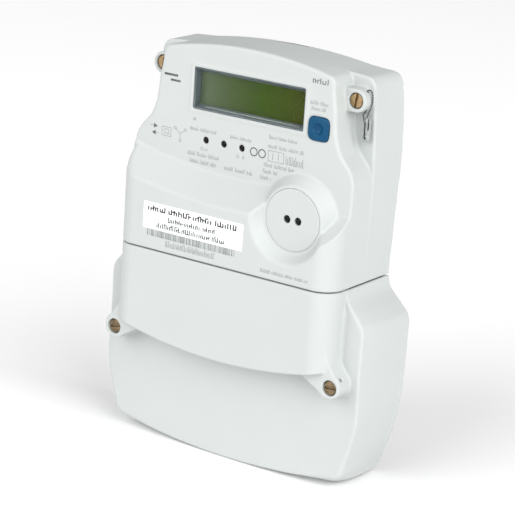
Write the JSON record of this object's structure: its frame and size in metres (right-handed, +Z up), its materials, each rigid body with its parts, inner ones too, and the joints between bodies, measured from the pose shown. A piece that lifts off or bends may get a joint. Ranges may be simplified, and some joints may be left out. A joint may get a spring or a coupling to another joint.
{
  "type": "electricity meter",
  "caption": "Wall-mounted three-phase static electricity meter with display, optical port, button, seals and a lift-off terminal cover.",
  "frame": {"origin": "on the wall face, on the middle of the case, at the height of the optical port", "axes": "+X to the viewer's right, +Y into the wall, +Z up"},
  "size_m": [0.164, 0.0565, 0.2181],
  "materials": {
    "case_plastic": "light grey-white moulding, fine satin texture",
    "cover_plastic": "light grey-white moulding, fine satin texture",
    "base_plastic": "grey glass-filled moulding",
    "block_plastic": "grey flame-retardant moulding",
    "seal_rubber": "black foam rubber cord",
    "clear_window": "clear polycarbonate, glossy",
    "bezel_plastic": "blue-grey print around the view area",
    "display_glass": "olive liquid crystal glass, unpowered",
    "diffuser_plastic": "milky light guide",
    "contact_rubber": "striped silicone contact strip",
    "board_laminate": "green solder mask",
    "chip_plastic": "black epoxy package with tinned leads",
    "capacitor_plastic": "yellow box capacitor",
    "capacitor_can": "sleeved aluminium can",
    "absorber_epoxy": "blue dipped epoxy",
    "switch_plastic": "black push switch",
    "button_plastic": "blue moulded key cap",
    "lamp_resin": "dark tinted resin",
    "port_plastic": "light grey-white insert",
    "port_steel": "plated steel disc behind the insert",
    "eye_resin": "infrared-clear dark resin",
    "sensor_plastic": "potted ring core",
    "terminal_brass": "plain brass and copper",
    "contact_gold": "gold-flashed spring pins",
    "zinc_steel": "zinc plated steel",
    "screw_brass": "dull turned brass",
    "insert_brass": "knurled brass insert",
    "sticker_paper": null,
    "wire_steel": "twisted stainless sealing wire",
    "crimp_plastic": "pale translucent seal body",
    "hanger_steel": "zinc plated strip"
  },
  "bodies": {
    "meter": {"rear_base": "base_plastic", "case_cover": "case_plastic", "case_gasket": "seal_rubber", "window_lens": "clear_window", "display_bezel": "bezel_plastic", "display_glass": "display_glass", "display_backlight": "diffuser_plastic", "display_contacts": "contact_rubber", "main_board": "board_laminate", "board_screws": "zinc_steel", "metering_chip": "chip_plastic", "control_chip": "chip_plastic", "supply_capacitor_1": "capacitor_plastic", "supply_capacitor_2": "capacitor_plastic", "supply_capacitor_3": "capacitor_plastic", "buffer_capacitor": "capacitor_can", "surge_absorbers": "absorber_epoxy", "button_switch": "switch_plastic", "test_lamp_1": "lamp_resin", "test_lamp_2": "lamp_resin", "test_lamp_3": "lamp_resin", "port_disc": "port_plastic", "port_plate": "port_steel", "port_emitter": "eye_resin", "port_receiver": "eye_resin", "current_sensor_1": "sensor_plastic", "current_sensor_2": "sensor_plastic", "current_sensor_3": "sensor_plastic", "phase_conductor_1": "terminal_brass", "phase_conductor_2": "terminal_brass", "phase_conductor_3": "terminal_brass", "neutral_conductor": "terminal_brass", "voltage_pins": "contact_gold", "terminal_block": "block_plastic", "terminal_screws": "zinc_steel", "auxiliary_terminals": "terminal_brass", "auxiliary_screws": "zinc_steel", "case_screws": "screw_brass", "case_inserts": "insert_brass", "cover_inserts": "insert_brass", "rating_sticker": "sticker_paper"},
    "button": {"display_button": "button_plastic"},
    "cover": {"terminal_cover": "cover_plastic"},
    "cover_screw_left": {"cover_screw_left": "screw_brass"},
    "cover_screw_right": {"cover_screw_right": "screw_brass"},
    "seal": {"seal_wire": "wire_steel", "seal_crimp": "crimp_plastic"},
    "hanger": {"wall_hanger": "hanger_steel"}
  },
  "joints": [
    {"name": "button_press", "type": "slide", "parent": "meter", "child": "button", "axis": [0, 1, 0], "range_m": [0, 0.0012], "stiffness_N_per_m": 600, "springref_m": -0.0015},
    {"name": "cover_removal", "type": "slide", "parent": "meter", "child": "cover", "axis": [0, -1, 0], "range_m": [0, 0.08]},
    {"name": "cover_screw_left_turn", "type": "hinge", "parent": "cover", "child": "cover_screw_left", "pos_m": [-0.0682, -0.0476, -0.0804], "axis": [0, -1, 0], "continuous": true},
    {"name": "cover_screw_right_turn", "type": "hinge", "parent": "cover", "child": "cover_screw_right", "pos_m": [0.0682, -0.0476, -0.0804], "axis": [0, -1, 0], "continuous": true},
    {"name": "seal_swing", "type": "hinge", "parent": "meter", "child": "seal", "pos_m": [0.0624, -0.028, 0.062], "axis": [0, 0, 1], "range_deg": [-25, 8]},
    {"name": "hanger_lift", "type": "slide", "parent": "meter", "child": "hanger", "axis": [0, 0, 1], "range_m": [0, 0.016]}
  ]
}
